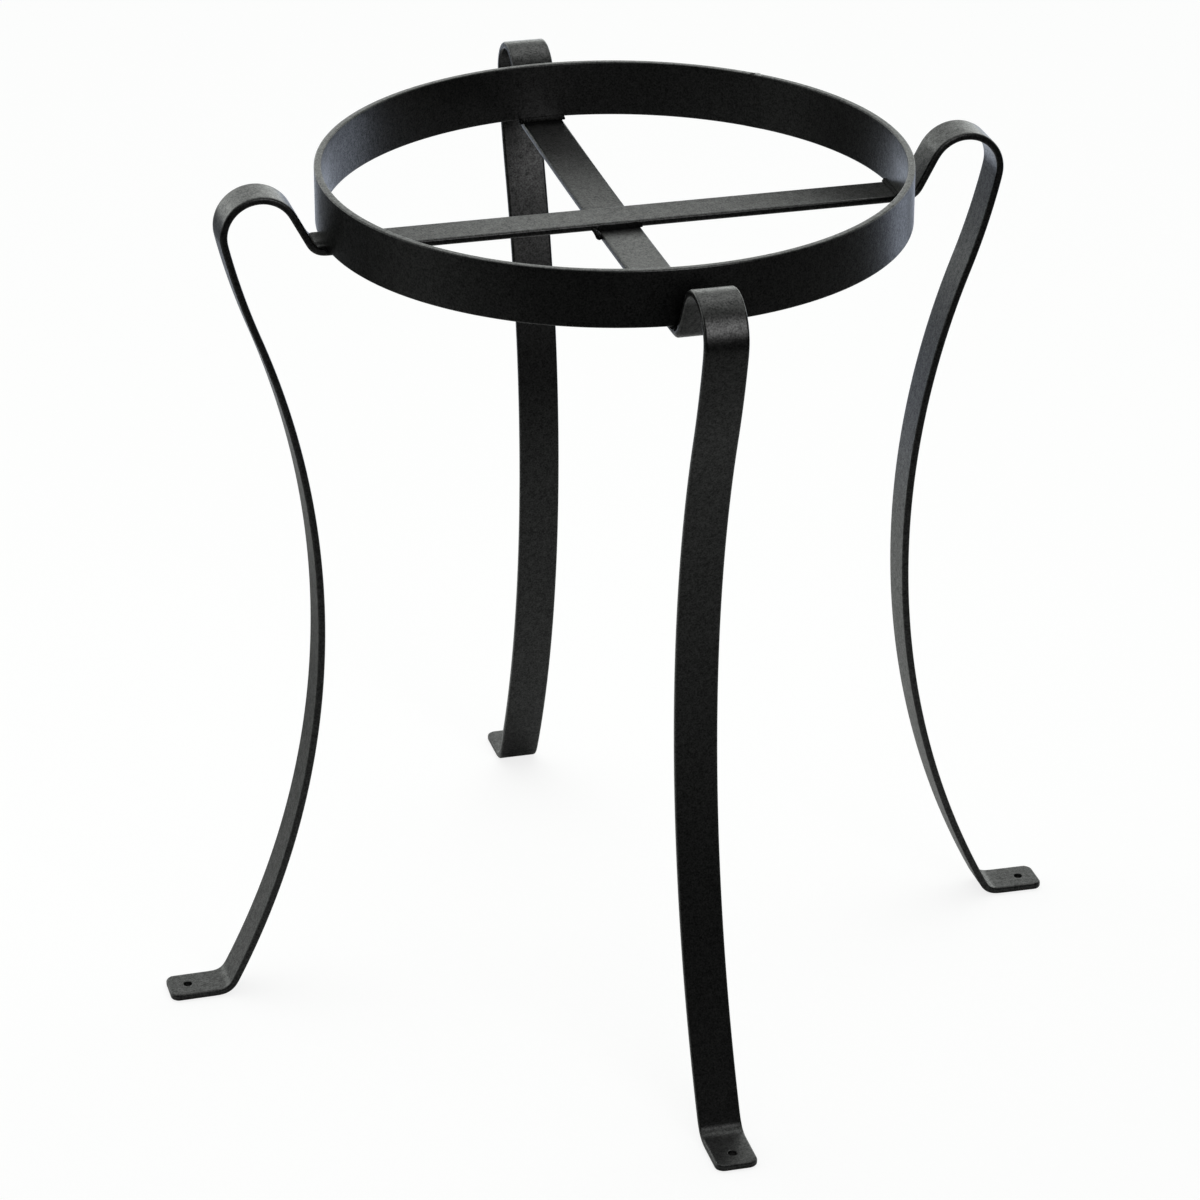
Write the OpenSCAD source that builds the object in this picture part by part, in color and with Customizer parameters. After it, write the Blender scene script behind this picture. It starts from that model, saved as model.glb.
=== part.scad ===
// Welded plant stand: a flat-bar ring for the pot, on two long bent bars that cross beneath it.
// Each long bar is one piece: foot, swept leg, crook, riser, crossbar and the same again mirrored.
// The origin is on the floor, midway between the four feet. +Z is up, and the bars lie along X and Y.

/* [Ring] */
// Inside diameter of the ring
ring_bore_d = 254; // [200:1:340]
// Height of the ring, the wide side of its flat bar
ring_h = 25.4; // [16:0.1:40]
// Thickness of the ring's flat bar
ring_t = 3.2; // [2:0.1:6]
// Height of the ring's top edge above the floor
stand_h = 386; // [320:1:460]

/* [Bars] */
// Width of the flat bar that both long bars are bent from
bar_w = 19; // [14:0.5:30]
// Thickness of that flat bar
bar_t = 3.2; // [2:0.1:5]

/* [Bends] */
// Flat left on the upper crossbar outside the ring before the bar turns up
seat_margin = 0.5; // [0:0.1:4]
// Centreline radius of the bend from the crossbar up into the riser
riser_bend_r = 6.5; // [5:0.5:10]
// Slope of the riser, up from level
riser_angle = 63; // [55:1:75]
// Straight length of the riser on the upper bar
riser_len = 15.5; // [8:0.5:30]
// Centreline radius of the crook
crook_r = 16; // [10:0.5:24]
// Angle that the crook turns through
crook_angle = 165.5; // [158:0.5:172]
// Centreline radius of the easy bend below the crook
shoulder_r = 330; // [200:5:450]
// Angle of the bend below the crook
shoulder_angle = 8; // [4:0.5:12]
// Angle that the long sweep of the leg turns back through
sweep_angle = 48.5; // [42:0.5:54]

/* [Feet] */
// Centreline radius of the bend from the leg into the foot
ankle_r = 7.5; // [5:0.5:12]
// Straight length of the foot beyond its bend
foot_len = 22.5; // [16:0.5:40]
// Radius of the foot's two outer corners
foot_corner_r = 4; // [1:0.5:6]
// Diameter of the screw hole in each foot
screw_hole_d = 4; // [3:0.1:6]
// Distance from the foot's tip to the centre of its screw hole
screw_hole_inset = 9; // [7:0.5:12]

/* [Welds] */
// Leg length of the beads between the ring and the bars
ring_weld_leg = 2.4; // [1.5:0.1:3]
// How far those beads stop short of each edge of the bar
ring_weld_margin = 0.3; // [0:0.1:3]
// Leg length of the two beads where the bars cross
cross_weld_leg = 2.8; // [1.5:0.1:3]
// Radius of the drip at the end of the front crossing bead
drip_r = 2.6; // [1:0.1:3]
// Gap between the ring's two ends, which the seam weld fills
seam_gap = 2; // [1:0.5:4]
// How far the seam weld stands proud of the ring's outside
seam_crown = 0.8; // [0.2:0.1:1.5]
// Direction of the seam from the stand's centre
seam_azimuth = 45; // [30:1:60]

/* [Hidden] */
// Facets of a full turn on the ring, and on holes, corners and beads
ring_fn = 720;
round_fn = 96;
// A bend is drawn in facets that turn and run no further than this
facet_turn = 5;
facet_len = 8;
// Overlap of a cutter past the face that it cuts
cut = 1;

ring_r = ring_bore_d / 2;
ring_z = stand_h - ring_h;
seam_turn = seam_gap / ring_r * 180 / PI;

// The upper crossbar carries the ring, and the lower crossbar passes one thickness below it.
upper_z = ring_z - bar_t / 2;
lower_z = upper_z - bar_t;
upper_half = ring_r + ring_t + seat_margin;

// The lower bar turns up earlier and its riser is longer, so that its crooks and feet match the upper's.
lower_half = upper_half - bar_t / tan(riser_angle);
lower_riser_len = riser_len + bar_t / sin(riser_angle);

// The ankle brings the slope of the leg back to level.
leg_slope = riser_angle - crook_angle - shoulder_angle + sweep_angle;

// Bend schedule from the end of a crossbar to its foot.
// Each step is a straight length, then a bend's centreline radius and its turn, up or, if negative, down.
function leg_steps(riser, sweep) = [
    [0, riser_bend_r, riser_angle],
    [riser, crook_r, -crook_angle],
    [0, shoulder_r, -shoulder_angle],
    [0, sweep, sweep_angle],
    [0, ankle_r, -leg_slope]
];

// A place on a bar's centreline is [distance out, height, slope].
function past_straight(at, length) = [at[0] + length * cos(at[2]), at[1] + length * sin(at[2]), at[2]];

function past_bend(at, r, turn) = [
    at[0] + sign(turn) * r * (sin(at[2] + turn) - sin(at[2])),
    at[1] + sign(turn) * r * (cos(at[2]) - cos(at[2] + turn)),
    at[2] + turn
];

function bend_facets(r, turn) = ceil(max(abs(turn) / facet_turn, abs(turn) * PI / 180 * r / facet_len));

// Walks along a bend schedule, from a place, and lists every place that an outline needs.
function walk(steps, at, i = 0) =
    i == len(steps) ? [at] :
    let (
        length = steps[i][0],
        r = steps[i][1],
        turn = steps[i][2],
        bend_start = past_straight(at, length),
        n = bend_facets(r, turn)
    )
    concat(
        length > 0 ? [at] : [],
        [for (k = [0 : n - 1]) past_bend(bend_start, r, turn * k / n)],
        walk(steps, past_bend(bend_start, r, turn), i + 1)
    );

function last(list) = list[len(list) - 1];
function reversed(list) = [for (i = [len(list) - 1 : -1 : 0]) list[i]];
function mirrored(points) = [for (p = points) [-p[0], p[1]]];

// One side of a bar along its centreline: 1 is the side that faces up on the crossbar, -1 the other.
function bar_side(places, side) =
    [for (p = places) [p[0] - side * bar_t / 2 * sin(p[2]), p[1] + side * bar_t / 2 * cos(p[2])]];

// The long sweep has whatever radius brings the foot down to the floor.
sweep_slope = leg_slope - sweep_angle;
climb_without_sweep = last(walk(leg_steps(riser_len, 0), [0, 0, 0]))[1];
sweep_r = (bar_t / 2 - upper_z - climb_without_sweep) / past_bend([0, 0, sweep_slope], 1, sweep_angle)[1];

// One long bar along X: the crossbar at its height, with a leg walked out from each end.
module long_bar(z, half, riser) {
    leg = walk(leg_steps(riser, sweep_r), [half, z, 0]);
    places = concat(leg, [past_straight(last(leg), foot_len)]);
    top_side = bar_side(places, 1);
    under_side = bar_side(places, -1);
    tip_x = last(places)[0];
    difference() {
        translate([0, bar_w / 2, 0])
            rotate([90, 0, 0])
                linear_extrude(bar_w)
                    polygon(concat(
                        top_side, reversed(under_side),
                        mirrored(under_side), mirrored(reversed(top_side))
                    ));
        for (azimuth = [0, 180])
            rotate(azimuth)
                translate([tip_x, 0, -cut])
                    linear_extrude(bar_t + 2 * cut)
                        foot_cuts();
    }
}

// What is cut from a foot, seen from above with its tip at the origin: two corners and a screw hole.
module foot_cuts() {
    translate([-screw_hole_inset, 0])
        circle(d = screw_hole_d, $fn = round_fn);
    for (side = [-1, 1])
        translate([-foot_corner_r, side * (bar_w / 2 - foot_corner_r)])
            mirror([0, side < 0 ? 1 : 0])
                difference() {
                    square(foot_corner_r + cut);
                    circle(r = foot_corner_r, $fn = round_fn);
                }
}

// Middle of a crossbar, to cut the crossing beads to its faces.
module crossbar_block(z) {
    translate([0, 0, z])
        cube([3 * bar_w, bar_w, bar_t], center = true);
}

module left_right_bar() {
    color("#26262a")
        long_bar(upper_z, upper_half, riser_len);
}

module front_back_bar() {
    color("#222226")
        rotate(90)
            long_bar(lower_z, lower_half, lower_riser_len);
}

// Section of the ring at its radius and height, ready to be turned about Z.
module ring_section() {
    translate([ring_r, ring_z])
        square([ring_t, ring_h]);
}

// Open hoop: its two ends stop at the seam.
module pot_ring() {
    color("#2a2a2e")
        rotate(seam_azimuth + seam_turn / 2)
            rotate_extrude(angle = 360 - seam_turn, $fn = ring_fn)
                ring_section();
}

// Seam weld: fills the gap of the hoop, flush inside, with a low crown outside.
module ring_seam_weld() {
    crown_r = seam_gap / 2 + seam_crown;
    crown_x = ring_r + ring_t + seam_crown - crown_r;
    color("#303034")
        rotate(seam_azimuth) {
            rotate(-seam_turn / 2)
                rotate_extrude(angle = seam_turn, $fn = ring_fn)
                    ring_section();
            difference() {
                translate([crown_x, 0, ring_z])
                    cylinder(r = crown_r, h = ring_h, $fn = round_fn);
                translate([0, 0, ring_z - cut])
                    cylinder(r = ring_r + ring_t, h = ring_h + 2 * cut, $fn = ring_fn);
            }
        }
}

// Section of the bead between the ring and a bar whose crossbar ends at half, by radius and height.
// It fills the gap between bar and ring as far as the middle of the ring's wall.
module ring_bead_section(half, gap, inside) {
    bead_r = ring_weld_leg + gap / 2;
    line_r = inside ? ring_r : ring_r + ring_t;
    wall_middle = ring_r + ring_t / 2;
    bar_top = ring_z - gap;
    hollow_r = riser_bend_r - bar_t / 2;
    difference() {
        intersection() {
            translate([line_r, ring_z - gap / 2])
                circle(r = bead_r, $fn = round_fn);
            translate([inside ? wall_middle - 2 * bead_r : wall_middle, bar_top])
                square(2 * bead_r);
            union() {
                translate([half - 4 * bead_r, bar_top])
                    square(4 * bead_r);
                translate([half, bar_top + hollow_r])
                    circle(r = hollow_r, $fn = round_fn);
            }
        }
        translate([ring_r, ring_z])
            square([ring_t, ring_h]);
    }
}

// Bead along the ring's lower edge over one bar, inside the ring or outside.
module ring_weld(azimuth, half, gap, inside) {
    half_turn = asin((bar_w / 2 - ring_weld_margin) / (ring_r + ring_t + ring_weld_leg));
    color("#303034")
        rotate(azimuth - half_turn)
            rotate_extrude(angle = 2 * half_turn, $fn = ring_fn)
                ring_bead_section(half, gap, inside);
}

module left_inner_weld() {
    ring_weld(180, upper_half, 0, true);
}

module left_outer_weld() {
    ring_weld(180, upper_half, 0, false);
}

module right_inner_weld() {
    ring_weld(0, upper_half, 0, true);
}

module right_outer_weld() {
    ring_weld(0, upper_half, 0, false);
}

module front_inner_weld() {
    ring_weld(-90, lower_half, bar_t, true);
}

module front_outer_weld() {
    ring_weld(-90, lower_half, bar_t, false);
}

module back_inner_weld() {
    ring_weld(90, lower_half, bar_t, true);
}

module back_outer_weld() {
    ring_weld(90, lower_half, bar_t, false);
}

// Bead along one side of the upper crossbar, on top of the lower one.
module crossing_weld(side) {
    half = bar_w / 2 - cross_weld_leg;
    color("#303034")
        difference() {
            translate([0, side * bar_w / 2, upper_z - bar_t / 2]) {
                rotate([0, 90, 0])
                    cylinder(r = cross_weld_leg, h = 2 * half, center = true, $fn = round_fn);
                for (x = [-half, half])
                    translate([x, 0, 0])
                        sphere(r = cross_weld_leg, $fn = round_fn);
                children();
            }
            crossbar_block(upper_z);
            rotate(90)
                crossbar_block(lower_z);
        }
}

// The front bead ends in a drip that runs over the left edge of the lower bar.
module front_crossing_weld() {
    crossing_weld(-1)
        translate([-bar_w / 2, 0, -bar_t / 2])
            sphere(r = drip_r, $fn = round_fn);
}

module back_crossing_weld() {
    crossing_weld(1);
}

pot_ring();
left_right_bar();
front_back_bar();
ring_seam_weld();
left_inner_weld();
left_outer_weld();
right_inner_weld();
right_outer_weld();
front_inner_weld();
front_outer_weld();
back_inner_weld();
back_outer_weld();
front_crossing_weld();
back_crossing_weld();
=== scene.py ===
from math import ceil, cos, radians, sin, tan

import bmesh
import bpy
import numpy as np
from mathutils import Matrix, Vector


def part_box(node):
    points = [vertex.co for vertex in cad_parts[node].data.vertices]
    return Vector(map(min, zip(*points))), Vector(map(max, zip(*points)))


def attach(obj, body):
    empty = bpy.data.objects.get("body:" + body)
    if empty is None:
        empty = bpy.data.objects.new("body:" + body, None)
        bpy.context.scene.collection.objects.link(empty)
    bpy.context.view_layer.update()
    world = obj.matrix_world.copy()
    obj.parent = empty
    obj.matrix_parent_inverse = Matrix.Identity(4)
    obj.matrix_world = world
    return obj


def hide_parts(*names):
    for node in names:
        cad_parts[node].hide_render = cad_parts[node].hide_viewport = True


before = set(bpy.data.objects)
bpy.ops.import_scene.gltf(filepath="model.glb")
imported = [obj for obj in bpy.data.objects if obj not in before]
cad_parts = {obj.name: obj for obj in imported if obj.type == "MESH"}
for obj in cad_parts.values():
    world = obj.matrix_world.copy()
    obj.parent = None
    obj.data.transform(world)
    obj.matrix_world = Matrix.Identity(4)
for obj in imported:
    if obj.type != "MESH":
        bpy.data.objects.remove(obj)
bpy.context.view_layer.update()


# ---------------------------------------------------------------------------------------------
# The two long bars. Each is one length of flat steel, bent cold over pins into foot, swept leg,
# crook, riser and crossbar and the same again mirrored, with a hole drilled through each foot.
# The lower bar crosses under the upper one. A satin black coating softens every edge of them.

RING_R = 0.127                     # inside of the ring, which the crossbars carry
RING_T = 0.0032
RING_Z = 0.3606                    # lower edge of the ring, and top of the upper crossbar
BAR_W = 0.019
BAR_T = 0.0032
SEAT_MARGIN = 0.0005               # how far the upper crossbar runs on past the ring
RISER_BEND_R, RISER_SLOPE, RISER_LEN = 0.0065, radians(63), 0.0155
CROOK_R, CROOK_TURN = 0.016, radians(165.5)
SHOULDER_R, SHOULDER_TURN = 0.33, radians(8)
SWEEP_TURN = radians(48.5)
ANKLE_R, FOOT_LEN = 0.0075, 0.0225
CORNER_R = 0.004
HOLE_R, HOLE_INSET = 0.002, 0.009
SPRING = 0.0017                    # how far the lower bar is sprung up to the ring at its shoulders
EDGE_R = 0.001                     # rolled and coated edge
HOLE_EDGE = 0.3                    # share of that radius which a screw hole's rims get
EDGE_ROWS = 4                      # rows of faces round an edge
FLATNESS = 80                      # how strongly the broad faces hold the shading flat
STEP = 0.0002                      # spacing of the points along a centreline
SOFT_BEND = 0.0011                 # width of the bell curve by which a cold bend runs out
BELL_POINTS = 30                   # points of that curve to either side of its middle
ROW_TURN, ROW_LEN = radians(3), 0.005   # a row of faces bends and runs no further than about this
SPREAD = 1.7e-6                    # swelling of the squeezed side, for a curvature of 1 per metre
CORNER_FACES = 7                   # faces round a corner of the tip
SQUARE_FACES = 8                   # faces along each side of the square round the hole
ONE_PLACE = 1e-6                   # points closer than this are one


def leg_schedule(riser, sweep_r):
    """Straight lengths and bends from the end of a crossbar to the tip of its foot, each as a
    length along the bar and its curvature, which is positive where the bar turns up."""
    ankle_turn = CROOK_TURN + SHOULDER_TURN - RISER_SLOPE - SWEEP_TURN
    return np.array([
        (RISER_BEND_R * RISER_SLOPE, 1 / RISER_BEND_R),
        (riser, 0.0),
        (CROOK_R * CROOK_TURN, -1 / CROOK_R),
        (SHOULDER_R * SHOULDER_TURN, -1 / SHOULDER_R),
        (sweep_r * SWEEP_TURN, 1 / sweep_r),
        (ANKLE_R * ankle_turn, 1 / ANKLE_R),
        (FOOT_LEN, 0.0),
    ])


def sweep_radius():
    """Radius of the long sweep that brings the foot down to the floor: the drop that is left after
    every other step of the schedule, over the drop of a sweep of radius 1. A bend of radius r from
    slope a to slope b climbs r (cos a - cos b), or the opposite where it turns down."""
    after_riser_bend = RISER_SLOPE
    after_crook = after_riser_bend - CROOK_TURN
    after_shoulder = after_crook - SHOULDER_TURN
    after_sweep = after_shoulder + SWEEP_TURN
    climb = RISER_BEND_R * (1 - cos(after_riser_bend)) + RISER_LEN * sin(after_riser_bend)
    climb -= CROOK_R * (cos(after_riser_bend) - cos(after_crook))
    climb -= SHOULDER_R * (cos(after_crook) - cos(after_shoulder))
    climb += ANKLE_R * (cos(after_sweep) - 1)
    drop = BAR_T / 2 - (RING_Z - BAR_T / 2) - climb
    return drop / (cos(after_shoulder) - cos(after_sweep))


def centreline(half, height, riser, spring):
    """Half of a bent bar's centreline, from the middle of its crossbar to the tip of its foot, as
    arrays of the length s, the distance out x, the height z, the slope and the curvature.
    The curvature is that of the schedule, smoothed by a bell curve because a cold bend runs out
    softly. Summed once it gives the slope, and the slope's cosine and sine, summed, give the place.
    The crossbar rises by spring towards its shoulder, as the square of the way there. What this
    and the smoothing move the crook's top by is taken back along the riser, and the foot's place
    along the leg."""
    schedule = np.vstack([[(half, 0.0)], leg_schedule(riser, sweep_radius())])
    ends = np.cumsum(schedule[:, 0])
    crossbar_end, _, riser_end, crook_end, _, sweep_end, _, _ = ends
    s = np.linspace(0, ends[-1], int(ends[-1] / STEP))
    step = s[1]
    curve = schedule[np.minimum(np.searchsorted(ends, s), len(ends) - 1), 1]
    bell = np.exp(-0.5 * (np.arange(-BELL_POINTS, BELL_POINTS + 1) * step / SOFT_BEND) ** 2)
    curve = np.convolve(np.pad(curve, BELL_POINTS, mode="edge"), bell / bell.sum(), mode="valid")
    slope = np.concatenate([[0], np.cumsum((curve[1:] + curve[:-1]) / 2) * step])
    between = (slope[1:] + slope[:-1]) / 2
    x = np.concatenate([[0], np.cumsum(np.cos(between)) * step])
    z = height + np.concatenate([[0], np.cumsum(np.sin(between)) * step])
    z += spring * np.clip(s / crossbar_end, 0, 1) ** 2
    high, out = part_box("left_right_bar")[1].z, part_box("left_right_bar")[1].x
    up_riser = np.clip((s - crossbar_end) / (riser_end - crossbar_end), 0, 1)
    z += up_riser * (high - BAR_T / 2 - z.max())
    leg = np.clip((s - crook_end) / (sweep_end - crook_end), 0, 1)
    x += leg * (out - x[-1])
    z += leg * (BAR_T / 2 - z[-1])
    return s, x, z, slope, curve


def mesh_piece(name, points, faces, body="root"):
    """New piece of the stand from points and faces, at the origin, with its normals outward."""
    mesh = bpy.data.meshes.new(name)
    mesh.from_pydata(np.asarray(points).tolist(), [], faces)
    bm = bmesh.new()
    bm.from_mesh(mesh)
    bmesh.ops.remove_doubles(bm, verts=bm.verts, dist=ONE_PLACE)
    bmesh.ops.recalc_face_normals(bm, faces=bm.faces)
    bm.to_mesh(mesh)
    bm.free()
    mesh.polygons.foreach_set("use_smooth", np.ones(len(mesh.polygons), bool))
    piece = bpy.data.objects.new(name, mesh)
    bpy.context.scene.collection.objects.link(piece)
    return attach(piece, body)


def keep_flat(piece):
    """Lets the broad faces lead the shading, so that they stay flat to the eye beside round edges."""
    weigh = piece.modifiers.new("flat_faces", "WEIGHTED_NORMAL")
    weigh.keep_sharp = False
    weigh.weight = FLATNESS


def soften(piece, rims, share):
    """Rounds the rims of a flat piece, given as pairs of vertices, by the edge radius times each
    pair's share. Every edge of the mesh is looked up among the rims by a code of its two vertices."""
    mesh = piece.data
    pairs = np.empty(2 * len(mesh.edges), np.int32)
    mesh.edges.foreach_get("vertices", pairs)
    code = [np.sort(p, 1) @ [len(mesh.vertices), 1] for p in (pairs.reshape(-1, 2), rims)]
    order = np.argsort(code[1])
    near = order[np.searchsorted(code[1][order], code[0]).clip(max=len(order) - 1)]
    on_rim = code[1][near] == code[0]
    weight = mesh.attributes.new("bevel_weight_edge", "FLOAT", "EDGE")
    weight.data.foreach_set("value", np.where(on_rim, share[near], 0).astype(np.float32))
    bevel = piece.modifiers.new("eased_edges", "BEVEL")
    bevel.width = EDGE_R
    bevel.segments = EDGE_ROWS
    bevel.limit_method = "WEIGHT"
    bevel.use_clamp_overlap = False
    keep_flat(piece)


def grid_faces(rows, cols, start=0):
    """Quads of a grid of points that is rows long and cols wide, and whose first point is start."""
    i = np.arange(rows - 1)[:, None] * cols + np.arange(cols - 1)[None, :] + start
    return np.stack([i, i + cols, i + cols + 1, i + 1], -1).reshape(-1, 4)


def ring_faces(rows, cols):
    """Quads of a grid that closes on itself across: the last point of a row joins its first."""
    i = np.arange(rows - 1)[:, None] * cols + np.arange(cols)[None, :]
    j = np.arange(rows - 1)[:, None] * cols + (np.arange(cols)[None, :] + 1) % cols
    return np.stack([i, j, j + cols, i + cols], -1).reshape(-1, 4)


def flat_bar(stations, total):
    """Plan of half a straight bar as points (s, y) and faces. The bar is a plain grid as far as the
    foot's screw hole. There a square of the grid gives way to rings that run from the square's
    outline to the hole, and one last row of faces ends on the tip's outline, which turns round its
    two corners on quarter circles and has a point for each column of the grid."""
    n = 2 * CORNER_FACES + 3
    side = np.linspace(-1, 1, n) * BAR_W / 2
    body = np.stack(np.meshgrid(stations, side, indexing="ij"), -1).reshape(-1, 2)
    faces = [grid_faces(len(stations), n)]

    # The square round the hole: its outline in order, then rings that draw in to the hole.
    reach = HOLE_INSET - CORNER_R
    along = np.linspace(-1, 1, SQUARE_FACES + 1) * reach
    outline = np.concatenate([
        np.stack([np.full(n - 1, -reach), side[:-1]], 1),
        np.stack([along[:-1], np.full(SQUARE_FACES, side[-1])], 1),
        np.stack([np.full(n - 1, reach), side[:0:-1]], 1),
        np.stack([along[:0:-1], np.full(SQUARE_FACES, side[0])], 1),
    ])
    count = len(outline)
    turn = np.arctan2(outline[0, 1], outline[0, 0])
    even = turn - np.arange(count) * 2 * np.pi / count
    circle = HOLE_R * np.stack([np.cos(even), np.sin(even)], 1)
    way_in = np.array([0, 0.35, 0.68, 1.0])[:, None, None]
    rings = (outline * (1 - way_in) + circle * way_in + [total - HOLE_INSET, 0]).reshape(-1, 2)
    faces.append(ring_faces(len(way_in), count)[:, [1, 2, 3, 0]] + len(body))

    # The tip: the square's far side, and the outline beyond it.
    a = np.radians(np.linspace(0, 90, CORNER_FACES + 1)[1:])
    corner = np.stack([total - CORNER_R * (1 - np.sin(a)), BAR_W / 2 - CORNER_R * (1 - np.cos(a))], 1)
    end = np.stack([np.full(3, total), np.array([-0.5, 0, 0.5]) * (BAR_W / 2 - CORNER_R)], 1)
    tip = np.vstack([np.stack([np.full(n, total - CORNER_R), side], 1),
                     corner * [1, -1], end, corner[::-1]])
    faces.append(grid_faces(2, n, len(body) + len(rings)))
    return np.vstack([body, rings, tip]), np.vstack(faces)


def shell(top, bottom, quads):
    """Closed shell between two sheets with the same quads: points that lie together are made one,
    each quad is used on top and, turned over, below, and a wall joins each open edge. The open
    edges, above and below, are given back as its rims."""
    key = np.round(top / ONE_PLACE).astype(np.int64)
    _, first, same = np.unique(key, axis=0, return_index=True, return_inverse=True)
    top, bottom, quads = top[first], bottom[first], same.ravel()[quads]
    n = len(top)
    edges = np.concatenate([np.stack([quads[:, k], quads[:, (k + 1) % 4]], 1) for k in range(4)])
    _, back, times = np.unique(np.sort(edges, 1), axis=0, return_inverse=True, return_counts=True)
    open_edges = edges[times[back.ravel()] == 1]
    a, b = open_edges.T
    walls = np.stack([b, a, a + n, b + n], 1)
    made = np.vstack([quads, quads[:, ::-1] + n, walls])
    return np.vstack([top, bottom]), made.tolist(), np.vstack([open_edges, open_edges + n])


def bent_bar(name, half, height, riser, quarter_turn, spring=0.0):
    """A flat bar laid along its centreline: a point (s, y) of the plan goes to the centreline's
    place at s, half a thickness to either side of it along the normal, and y across. Where the bar
    bends tightly its squeezed inner face spreads and its stretched outer face draws in."""
    s, x, z, slope, curve = centreline(half, height, riser, spring)
    total = s[-1]

    # Rows of faces lie closer together where the bar bends: work counts them along it.
    work = np.cumsum(np.abs(curve) / ROW_TURN + 1 / ROW_LEN) * s[1]
    reach = total - 2 * HOLE_INSET + CORNER_R
    last = np.interp(reach, s, work)
    stations = np.interp(np.linspace(work[0], last, ceil(last)), work, s)
    stations[0], stations[-1] = 0, reach

    plan, faces = flat_bar(stations, total)
    at = plan[:, 0]
    px, pz = np.interp(at, s, x), np.interp(at, s, z)
    angle, bend = np.interp(at, s, slope), np.interp(at, s, curve)
    swell = SPREAD * bend * plan[:, 1] / (BAR_W / 2)
    half_sheets = [
        np.stack([
            px - sign * BAR_T / 2 * np.sin(angle),
            plan[:, 1] + sign * swell,
            pz + sign * BAR_T / 2 * np.cos(angle),
        ], 1) for sign in (1, -1)]
    top, bottom = (np.vstack([sheet, sheet * [-1, 1, 1]]) for sheet in half_sheets)
    quads = np.vstack([faces, faces + len(plan)])
    if quarter_turn:
        top, bottom = (p[:, [1, 0, 2]] * [-1, 1, 1] for p in (top, bottom))
    points, made, rims = shell(top, bottom, quads)
    bar = mesh_piece(name, points, made)

    # Rims close to a screw hole's centre are the hole's own, and are eased less.
    out = np.abs(points[rims[:, 0], 1 if quarter_turn else 0]) - (x[-1] - HOLE_INSET)
    over = points[rims[:, 0], 0 if quarter_turn else 1]
    soften(bar, rims, np.where(np.hypot(out, over) < 1.5 * HOLE_R, HOLE_EDGE, 1.0))
    return bar


upper_half = RING_R + RING_T + SEAT_MARGIN
bars = [
    bent_bar("left_right_bar_coated", upper_half, RING_Z - BAR_T / 2, RISER_LEN, False),
    bent_bar("front_back_bar_coated", upper_half - BAR_T / tan(RISER_SLOPE),
             RING_Z - 1.5 * BAR_T, RISER_LEN + BAR_T / sin(RISER_SLOPE), True, SPRING),
]
for bar, node in zip(bars, ("left_right_bar", "front_back_bar")):
    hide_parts(node)


class Value:
    """A number on a shader socket. Arithmetic on values adds Math nodes to the same material."""

    def __init__(self, shader, socket):
        self.shader, self.socket = shader, socket

    def math(self, operation, *others):
        values = {0: self, **{i + 1: other for i, other in enumerate(others)}}
        return self.shader.node("ShaderNodeMath", {"operation": operation}, values)

    def __add__(self, other):
        return self.math("ADD", other)

    def __sub__(self, other):
        return self.math("SUBTRACT", other)

    def __mul__(self, other):
        return self.math("MULTIPLY", other)

    def __rsub__(self, other):
        return self.shader.node("ShaderNodeMath", {"operation": "SUBTRACT"}, {0: other, 1: self})

    __radd__ = __add__
    __rmul__ = __mul__

    def ramp(self, start, end, low, high, course="SMOOTHSTEP"):
        """Runs from low to high while this value runs from start to end, and stays there beyond."""
        return self.shader.node("ShaderNodeMapRange", {"interpolation_type": course}, {
            "Value": self, 1: start, 2: end, 3: low, 4: high})


class Shader:
    """A material or world under construction."""

    def __init__(self, owner):
        owner.use_nodes = True
        self.tree = owner.node_tree
        self.tree.nodes.clear()

    def node(self, kind, settings=None, values=None, out=0):
        """Adds a node, sets its settings first and then its sockets, and returns one output."""
        made = self.tree.nodes.new(kind)
        for key, value in (settings or {}).items():
            setattr(made, key, value)
        for key, value in (values or {}).items():
            if isinstance(value, Value):
                self.tree.links.new(value.socket, made.inputs[key])
            else:
                made.inputs[key].default_value = value
        return Value(self, made.outputs[out]) if len(made.outputs) else None


GRAIN = (1300.0, 2.0, 0.6)         # scale, detail and roughness of each of the three patterns
PEEL = (420.0, 2.0, 0.5)
PATCH = (38.0, 3.0, 0.55)
RELIEF = 1.0e-4                    # depth of the grain and of the orange peel, in metres
SATIN, TOP_SATIN = 0.36, 0.3       # roughness of the coating, and of its clear top


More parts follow.
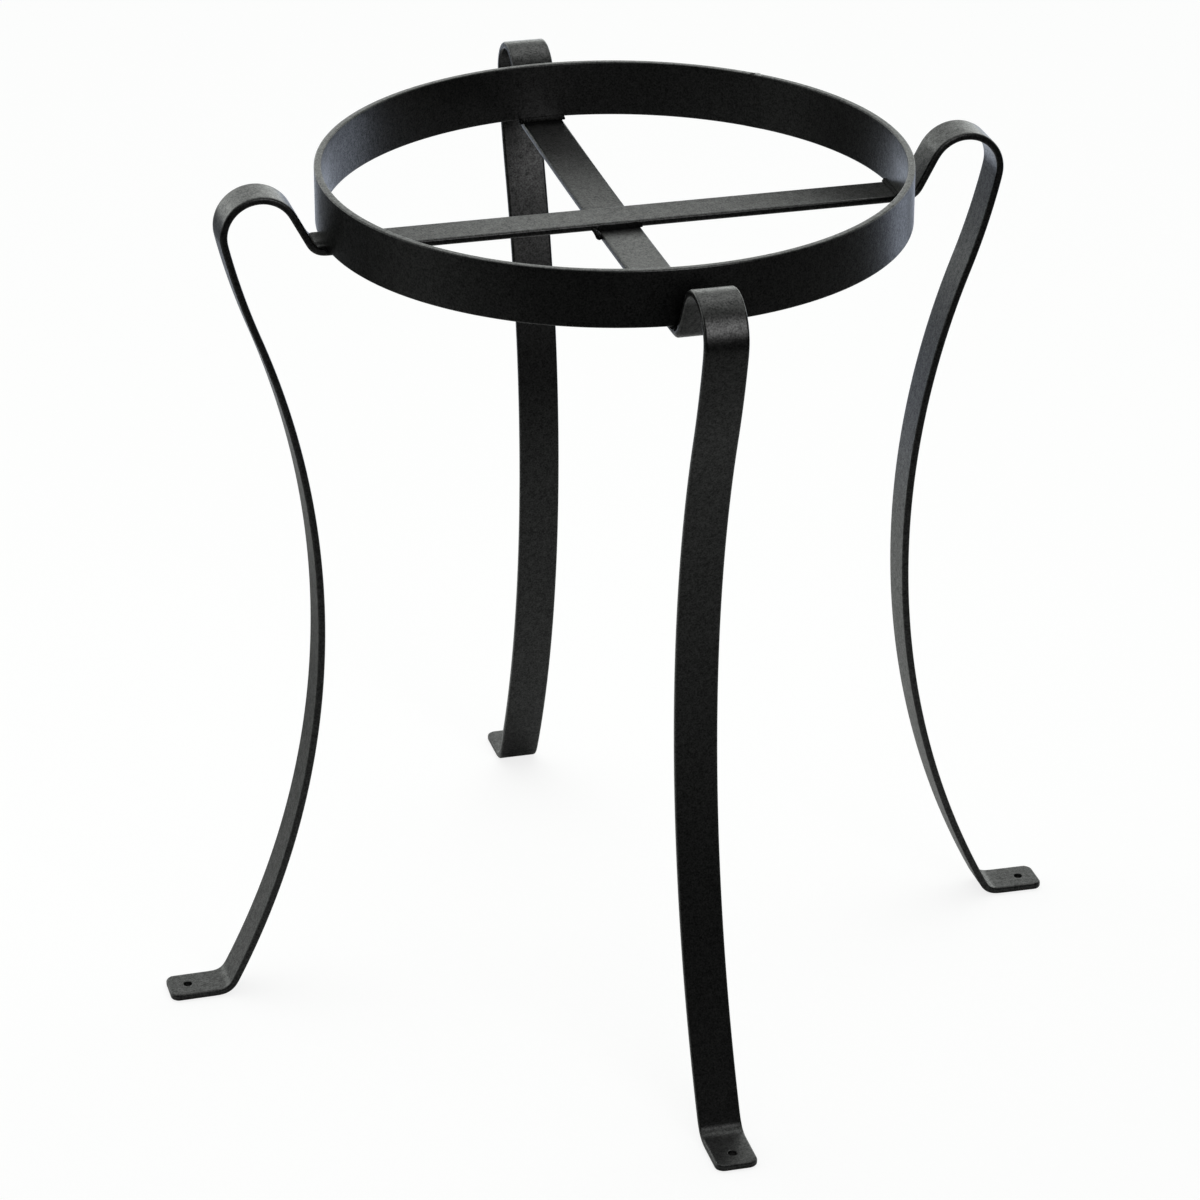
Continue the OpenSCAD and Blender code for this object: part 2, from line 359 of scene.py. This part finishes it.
def satin_coating(name, tone, gloss=1.0):
    """Satin black coating: a fine grain of the sprayed powder, an orange-peel swell under it, and
    slow patches of a little more or less gloss. tone is its grey and gloss the strength of its
    reflection. The specks of the grain are lighter and reflect more than what lies between."""
    material = bpy.data.materials.new(name)
    s = Shader(material)
    place = s.node("ShaderNodeTexCoord", out="Object")
    fine, peel, patch = (
        s.node("ShaderNodeTexNoise", {}, {
            "Vector": place, "Scale": scale, "Detail": detail, "Roughness": roughness})
        for scale, detail, roughness in (GRAIN, PEEL, PATCH))
    speck = (fine * 0.72 + peel * 0.28).ramp(0.36, 0.64, 0.0, 1.0, "LINEAR")
    normal = s.node("ShaderNodeBump", {}, {
        "Height": fine * RELIEF + peel * RELIEF, "Strength": 1.0, "Distance": 1.0})
    colour = s.node("ShaderNodeMix", {"data_type": "RGBA"}, {
        0: speck * 0.7 + patch * 0.3,
        6: (tone * 0.3, tone * 0.3, tone * 0.32, 1),
        7: (tone * 1.7, tone * 1.72, tone * 1.62, 1)}, out=2)
    coat = s.node("ShaderNodeBsdfPrincipled", {}, {
        "Base Color": colour,
        "Roughness": (patch - 0.5) * 0.12 + (fine - 0.5) * 0.2 + SATIN,
        "Specular IOR Level": 0.25 * gloss,
        "Coat Weight": speck * gloss,
        "Coat Roughness": TOP_SATIN,
        "Normal": normal})
    s.node("ShaderNodeOutputMaterial", {}, {"Surface": coat})
    return material


BLACK = 0.0026                     # grey of the coating; the rest of its tone is reflection
bar_coating = satin_coating("bar_coating_satin_black", BLACK)
for bar in bars:
    bar.data.materials.append(bar_coating)


# ---------------------------------------------------------------------------------------------
# The ring. One flat bar, 25.4 by 3.2 mm, rolled on edge into an open hoop that holds the pot.
# It stands on the upper crossbar. Its edges are eased by rolling and by the coating.

RING_H = 0.0254
RING_EDGE_R = 0.0007
SEAM_GAP = 0.002                   # between the two ends of the rolled bar
SEAM_AZIMUTH = radians(45)
HOOP_ROWS = 421


def rounded_section(width, height, r, corner=6, flat=4):
    """Outline of a rectangle with quarter-circle corners, anticlockwise from its lower left. Each
    corner has that many points, at its centre plus r (cos t, sin t) over a quarter turn, and each
    side between two corners is straight and that many faces long."""
    a = np.linspace(0, 1, corner)
    centres = np.array([(r - width / 2, r - height / 2), (width / 2 - r, r - height / 2),
                        (width / 2 - r, height / 2 - r), (r - width / 2, height / 2 - r)])
    turns = (np.array([180, 270, 0, 90])[:, None] + 90 * a) * np.pi / 180
    corners = centres[:, None] + r * np.stack([np.cos(turns), np.sin(turns)], -1)
    t = np.linspace(0, 1, flat + 1)[1:-1, None]
    sides = [corners[k, -1] * (1 - t) + corners[(k + 1) % 4, 0] * t for k in range(4)]
    return np.vstack([np.vstack([corners[k], sides[k]]) for k in range(4)])


def swept(sections):
    """Tube through a stack of closed outlines, rows of points in 3-D, with a flat cap at each end."""
    rows, cols = sections.shape[:2]
    faces = ring_faces(rows, cols).tolist()
    faces.append(list(range(cols))[::-1])
    faces.append(list(range((rows - 1) * cols, rows * cols)))
    return sections.reshape(-1, 3), faces


def hoop(section, azimuths, r, z):
    """A section (out, up) carried round the Z axis: each point turns at r plus its distance out."""
    out, up = section.T
    a = np.asarray(azimuths)[:, None]
    return np.stack([(r + out) * np.cos(a), (r + out) * np.sin(a), z + up + 0 * a], -1)


half_gap = SEAM_GAP / 2 / RING_R
azimuths = np.linspace(SEAM_AZIMUTH + half_gap, SEAM_AZIMUTH - half_gap + 2 * np.pi, HOOP_ROWS)
ring_section = rounded_section(RING_T, RING_H, RING_EDGE_R)
ring = mesh_piece("pot_ring_coated", *swept(
    hoop(ring_section, azimuths, RING_R + RING_T / 2, RING_Z + RING_H / 2)))
keep_flat(ring)
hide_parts("pot_ring")
ring.data.materials.append(satin_coating("ring_coating_satin_black", BLACK))


# ---------------------------------------------------------------------------------------------
# The weld beads. Each is a run of steel that fills a corner, with soft ripples: one inside and one
# outside the ring on each of the four shoulders, and one along each side of the crossing. One of
# them ran on and set as a drip. Their coating reflects far less than the rest: painted shade that
# keeps the beads dark, as the shade in their corners would.

# Painted shade: the beads get a weak reflection so that they stay dark in their corners.
shaded_weld_coating = satin_coating("weld_painted_shade_black", 0.0025, 0.15)
RIPPLE_PITCH = 0.0013
RIPPLE_DEPTH = 0.0001
RIPPLE_RISE = 0.75                 # share of a ripple that rises; the rest is its step down
SLIP, SLIP_TURNS = 0.12, 9         # how far ripples wander, as a share of the pitch, and how often
WANDER, WANDER_TURNS = 0.05, 7     # how far a bead's size wanders, as a share of it, and how often
BITE = 0.0005                      # depth of a bead's toe in the plate
DRAW_IN = 0.0016                   # length over which a bead closes at its ends
BEAD_ROWS, BEAD_FACE = 84, 13      # outlines along a bead, and points across its face
PATH_POINTS = 25
INNER_HALF, OUTER_HALF = 0.0106, 0.0098    # half the length of a bead inside and outside the ring
OVERRUN = 0.0007                   # how far a crossing bead runs past the lower bar's edges
GAP = BAR_T - SPRING               # between the ring and the lower bar where it is sprung up
BLOB_R, DRIP_NECK_R, DRIP_R = 0.0011, 0.0008, 0.0014

# Reach, rise, root and fullness of each kind of bead. On the lower bar it also closes the gap.
# Outside the ring it lies level in the V between the ring and the riser.
INNER_ON_UPPER = (0.0014, 0.0015, 0.0006, 1.3)
INNER_ON_LOWER = (0.0006, GAP + 0.0007, RING_T / 2, 1.3)
OUTER_ON_UPPER = (0.0042, 0.0014, 0.0006, 5.0)
OUTER_ON_LOWER = (0.0026, GAP + 0.0006, RING_T / 2, 2.0)
FRONT_CROSSING = (0.0004, 0.0024, 0.0006, 1.1)
BACK_CROSSING = (0.0016, 0.0019, 0.0006, 1.7)


def ripples(at, seed):
    """Height of the ripples, 0 to 1, at lengths along a bead: each rises slowly and ends in a short
    step, and their pitch wanders by a few percent."""
    rng = np.random.default_rng(seed)
    slip = np.interp(at, np.linspace(0, at[-1], SLIP_TURNS), rng.normal(0, SLIP, SLIP_TURNS))
    wave = (at / RIPPLE_PITCH + slip) % 1
    return np.minimum(wave / RIPPLE_RISE, (1 - wave) / (1 - RIPPLE_RISE))


def round_end(part):
    """Width, as a share, of a round end at a part of the way from its root to its tip: the square
    root of 1 less the part squared. It stays a little over 0, so that no face falls in on itself."""
    return np.sqrt(np.clip(1 - part ** 2, 1e-5, 1))


def bead_run(corner, out, up, shape, seed):
    """Fillet weld as outlines along the corner that it fills. Its face is a superellipse from the
    plate, reach away from the wall, to the wall, rise above the plate: (cos t) ^ (2 / fullness)
    along out and (sin t) ^ (2 / fullness) along up. Behind the face it goes root deep into the
    joint. It draws in to both ends over a quarter circle, and its size wanders a little."""
    reach, rise, root, fullness = shape
    s = np.concatenate([[0], np.cumsum(np.linalg.norm(np.diff(corner, axis=0), axis=1))])
    at = s[-1] * (0.5 - 0.5 * np.cos(np.linspace(0, np.pi, BEAD_ROWS)))
    line, out, up = (
        np.stack([np.interp(at, s, np.broadcast_to(v, corner.shape)[:, k]) for k in range(3)], 1)
        for v in (corner, out, up))
    rng = np.random.default_rng(seed)
    wander = np.interp(
        at, np.linspace(0, s[-1], WANDER_TURNS), rng.normal(0, WANDER, WANDER_TURNS))
    size = round_end(1 - np.clip(np.minimum(at, s[-1] - at) / DRAW_IN, 0, 1)) * (1 + wander)
    t = np.radians(np.linspace(0, 90, BEAD_FACE))
    face_out, face_up = reach * np.cos(t) ** (2 / fullness), rise * np.sin(t) ** (2 / fullness)
    lift = RIPPLE_DEPTH * ripples(at, seed)[:, None] * np.sin(2 * t) ** 0.5
    along_out = size[:, None] * np.hstack([
        face_out + lift * np.cos(t), np.full((BEAD_ROWS, 2), -root)])
    along_up = size[:, None] * np.hstack([
        face_up + lift * np.sin(t), np.full((BEAD_ROWS, 1), rise), np.full((BEAD_ROWS, 1), -BITE)])
    return line[:, None] + along_out[..., None] * out[:, None] + along_up[..., None] * up[:, None]


def drip_run(path, radii):
    """Drip as round outlines along a path, each at right angles to it: the path's point plus the
    radius there times (cos a) to one side and (sin a) to the other."""
    along = np.gradient(path, axis=0)
    along /= np.linalg.norm(along, axis=1, keepdims=True)
    side = np.cross(along, (1, 0, 0))
    side /= np.linalg.norm(side, axis=1, keepdims=True)
    other = np.cross(along, side)
    a = np.linspace(0, 2 * np.pi, 24, endpoint=False)[None, :, None]
    return path[:, None] + radii[:, None, None] * (
        np.cos(a) * side[:, None] + np.sin(a) * other[:, None])


def weld(node, *runs):
    """One weld of the stand from its runs of outlines, each a closed shell."""
    points, faces, start = [], [], 0
    for run in runs:
        more, made = swept(run)
        points.append(more)
        faces += [[start + i for i in face] for face in made]
        start += len(more)
    piece = mesh_piece(f"{node}_bead", np.vstack(points), faces)
    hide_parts(node)
    piece.data.materials.append(shaded_weld_coating)


def round_the_ring(azimuth, r, z, half_width):
    """Corner path along the ring at radius r and height z, half_width to either side of an azimuth,
    with the direction away from the stand's axis at each of its points."""
    a = radians(azimuth) + np.linspace(-1, 1, PATH_POINTS) * half_width / r
    outward = np.stack([np.cos(a), np.sin(a), 0 * a], 1)
    return outward * r + [0, 0, z], outward


def blob(centre):
    """Small blob that the arc left where it stopped: a short drip that is round at both ends."""
    fall = np.linspace(-1, 1, 20)
    path = centre + np.stack([0.0003 * fall, -0.0004 * fall, -0.0013 * fall], 1)
    return drip_run(path, BLOB_R * round_end(fall))


def drip(start):
    """Drip from the front crossing bead over the lower bar's left edge. Its path sags by the square
    of the way along, and it swells from its neck and closes round. It starts inside the bead."""
    fall = np.linspace(0, 1, 32)
    path = start + np.stack([0.0025 * fall, -0.0044 * fall, -0.0028 * fall - 0.0008 * fall ** 2], 1)
    thick = DRIP_NECK_R + (DRIP_R - DRIP_NECK_R) * np.clip(fall / 0.7, 0, 1) ** 2
    close = round_end(np.clip((fall - 0.72) / 0.28, 0, 1))
    close[0] = 0.003
    return drip_run(path, thick * close)


for turn, side_name in enumerate(("right", "back", "left", "front")):
    on_lower = side_name in ("back", "front")
    top = RING_Z - GAP if on_lower else RING_Z
    corner, outward = round_the_ring(90 * turn, RING_R, top, INNER_HALF)
    shape = INNER_ON_LOWER if on_lower else INNER_ON_UPPER
    runs = [bead_run(corner, -outward, (0, 0, 1), shape, seed=10 + turn)]
    if side_name == "back":
        runs.append(blob(corner[-1] + [0.0002, -0.0006, 0.0008]))
    weld(f"{side_name}_inner_weld", *runs)
    corner, outward = round_the_ring(90 * turn, RING_R + RING_T, top, OUTER_HALF)
    shape = OUTER_ON_LOWER if on_lower else OUTER_ON_UPPER
    weld(f"{side_name}_outer_weld", bead_run(corner, outward, (0, 0, 1), shape, seed=20 + turn))

for side_name, sign, shape in (("front", -1, FRONT_CROSSING), ("back", 1, BACK_CROSSING)):
    along = np.linspace(-1, 1, PATH_POINTS) * (BAR_W / 2 + OVERRUN)
    corner = np.stack([along, 0 * along + sign * BAR_W / 2, 0 * along + RING_Z - BAR_T], 1)
    runs = [bead_run(corner, (0, sign, 0), (0, 0, 1), shape, seed=31 + sign)]
    if side_name == "front":
        runs.append(drip([-0.0123, -0.0096, RING_Z - BAR_T + 0.0012]))
    weld(f"{side_name}_crossing_weld", *runs)


# ---------------------------------------------------------------------------------------------
# The ring's seam. The rolled bar's two ends are welded together at the back on the right. The weld
# is ground flush inside, where a pot slides past it, and left with a low crown outside. Its coating
# shines as the ring's does, without the painted shade given to the other beads.

SEAM_CROWN = 0.00068               # height of its crown outside, above its root in the ring
SEAM_ROOT = 0.0001
SEAM_SUNK, SEAM_SWELL = 0.00002, 0.00005   # inside the ring: sunk at its edges, and swell from there
SEAM_OUTER_HALF, SEAM_INNER_HALF = 0.0017, 0.004    # half its width outside and inside the ring
SEAM_END = 0.0002                  # how far it stops short of the ring's two edges
SEAM_ROWS, SEAM_COLUMNS = 72, 15

# Outside, its outline is half an ellipse: its crown times the root of 1 less the square of the way
# over. Inside it is all but flush: it swells from its edges by the square of 1 less that square.
seam_up = np.linspace(0, 1, SEAM_ROWS)[:, None]
over = np.linspace(-1, 1, SEAM_COLUMNS)
crown = SEAM_CROWN + RIPPLE_DEPTH * ripples(seam_up[:, 0] * RING_H, 5)[:, None]
outer = RING_R + RING_T - SEAM_ROOT + crown * np.sqrt(1 - over ** 2)
inner = RING_R + SEAM_SUNK - SEAM_SWELL * (1 - over[::-1] ** 2) ** 2 + 0 * seam_up
turns = SEAM_AZIMUTH + np.concatenate([
    over * SEAM_OUTER_HALF / (RING_R + RING_T), over[::-1] * SEAM_INNER_HALF / RING_R])
radii = np.hstack([outer, inner])
heights = RING_Z + SEAM_END + (RING_H - 2 * SEAM_END) * seam_up + 0 * radii
seam = mesh_piece("ring_seam_weld_bead", *swept(
    np.stack([radii * np.cos(turns), radii * np.sin(turns), heights], -1)))
seam.data.materials.append(satin_coating("seam_coating_satin_black", BLACK))
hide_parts("ring_seam_weld")


# ---------------------------------------------------------------------------------------------
# The studio: a pale sheet under the stand that runs up into a white surround behind it, light that
# falls from above and behind, and a dark room in front, so that what faces up shines and what
# faces the camera stays black.

FLOOR_W = 12
FLOOR_TONE, FLOOR_GLOW = 0.8, 0.7  # the floor as the camera sees it: its grey, and its share of light
FLOOR_LIGHT = 1.16                 # strength of that light
COOL = (0.87, 0.97, 1.17)          # tint of the floor's light in the stand
WARM = (0.985, 1.02, 0.985)        # tint of the surround's light in the stand


def tinted(shader, camera_ray, tint):
    """Colour that is white to the camera and has a tint to every other ray."""
    return shader.node("ShaderNodeCombineXYZ", {}, {
        k: camera_ray + (1 - camera_ray) * share for k, share in enumerate(tint)})


bpy.ops.mesh.primitive_plane_add(size=FLOOR_W)
floor = bpy.context.object
floor.name = "studio_floor"
material = bpy.data.materials.new("studio_floor_pale")
s = Shader(material)
camera_ray = s.node("ShaderNodeLightPath", out="Is Camera Ray")
place = s.node("ShaderNodeTexCoord", out="Object")
right_x, back_y = (s.node("ShaderNodeSeparateXYZ", {}, {0: place}, out=axis) for axis in (0, 1))

# Grey of the floor as the stand reflects it: it darkens to both sides and towards the camera.
in_front = back_y.ramp(0.1, 0.35, 1.0, 0.0)
right_edge = right_x.ramp(0.35, 0.9, 1.0, 0.15)
left_edge = right_x.ramp(-0.3, -0.1, 0.12, 1.0) * (1 - in_front) + in_front
far_left = right_x.ramp(-1.1, -0.45, 0.4, 1.0)
near_stand = back_y.ramp(-0.85, -0.2, 0.025, 1.0)
up_the_back = back_y.ramp(0.0, 0.6, 0.55, 0.85)
seen_by_stand = right_edge * left_edge * far_left * near_stand * up_the_back
tone = camera_ray * FLOOR_TONE + (1 - camera_ray) * seen_by_stand
pale = s.node("ShaderNodeBsdfDiffuse", {}, {
    "Color": s.node("ShaderNodeCombineXYZ", {}, {0: tone, 1: tone, 2: tone})})

# Light of the sheet where it runs up at the back on the right.
wide_back = back_y.ramp(0.15, 0.5, 0.0, 0.75)
right_back = (back_y + right_x * 0.5).ramp(0.4, 0.85, 0.0, 1.0)
lit = camera_ray * FLOOR_GLOW + (1 - camera_ray) * wide_back * right_back * left_edge
white = s.node("ShaderNodeEmission", {}, {
    "Color": tinted(s, camera_ray, COOL), "Strength": FLOOR_LIGHT})
mixed = s.node("ShaderNodeMixShader", {}, {0: lit, 1: pale, 2: white})
s.node("ShaderNodeOutputMaterial", {}, {"Surface": mixed})
floor.data.materials.append(material)

# The surround is white to the camera. To the stand it glows at the back, most near the horizon,
# and a little overhead.
world = bpy.data.worlds.new("studio_surround")
bpy.context.scene.world = world
s = Shader(world)
camera_ray = s.node("ShaderNodeLightPath", out="Is Camera Ray")
direction = s.node("ShaderNodeTexCoord", out="Generated")
toward_back, toward_top = (
    s.node("ShaderNodeSeparateXYZ", {}, {0: direction}, out=axis) for axis in (1, 2))
glow = toward_back.ramp(-0.5, 0.55, 0.02, 0.74)
at_horizon = toward_top.ramp(0.15, 0.5, 2.3, 0.95)
overhead = toward_top.ramp(0.65, 0.95, 0.0, 0.6)
strength = camera_ray + (1 - camera_ray) * (glow * at_horizon + overhead)
s.node("ShaderNodeOutputWorld", {}, {"Surface": s.node(
    "ShaderNodeBackground", {}, {"Color": tinted(s, camera_ray, WARM), "Strength": strength})})


def soft_light(name, place, aim, size, power, spread=180):
    """Rectangular soft light at a place, facing aim, with its beam held to spread degrees."""
    lamp = bpy.data.lights.new(name, "AREA")
    lamp.shape = "RECTANGLE"
    lamp.size, lamp.size_y = size
    lamp.energy = power
    lamp.spread = radians(spread)
    holder = bpy.data.objects.new(name, lamp)
    holder.location = place
    holder.rotation_euler = (Vector(aim) - Vector(place)).to_track_quat("-Z", "Y").to_euler()
    holder.visible_camera = False
    bpy.context.scene.collection.objects.link(holder)


soft_light("overhead_soft_light", place=(0.1, 0.6, 1.9), aim=(0, 0, 0.3),
           size=(1.6, 1.2), power=4)
soft_light("front_soft_light", place=(0.09, -0.57, 0.58), aim=(0, -0.16, 0.37),
           size=(0.36, 0.36), power=0.29, spread=80)

# The camera stands where the photograph was taken from, a little above the ring and well back.
CAMERA_PLACE = Vector((-0.501417, -1.855966, 1.101019))
CAMERA_AIM = Vector((-0.005653, 0.001509, 0.174099))
CAMERA_ROLL = radians(0.1475)
CAMERA_LENS, CAMERA_SENSOR = 141.447, 36
camera = bpy.data.cameras.new("photograph_camera")
camera.lens = CAMERA_LENS
camera.sensor_width = CAMERA_SENSOR
camera.clip_start, camera.clip_end = 0.05, 60
viewer = bpy.data.objects.new("photograph_camera", camera)
look = (CAMERA_AIM - CAMERA_PLACE).to_track_quat("-Z", "Y").to_matrix()
viewer.matrix_world = Matrix.Translation(CAMERA_PLACE) @ (
    look @ Matrix.Rotation(CAMERA_ROLL, 3, "Z")).to_4x4()
bpy.context.scene.collection.objects.link(viewer)
bpy.context.scene.camera = viewer
bpy.context.scene.view_settings.view_transform = "Standard"
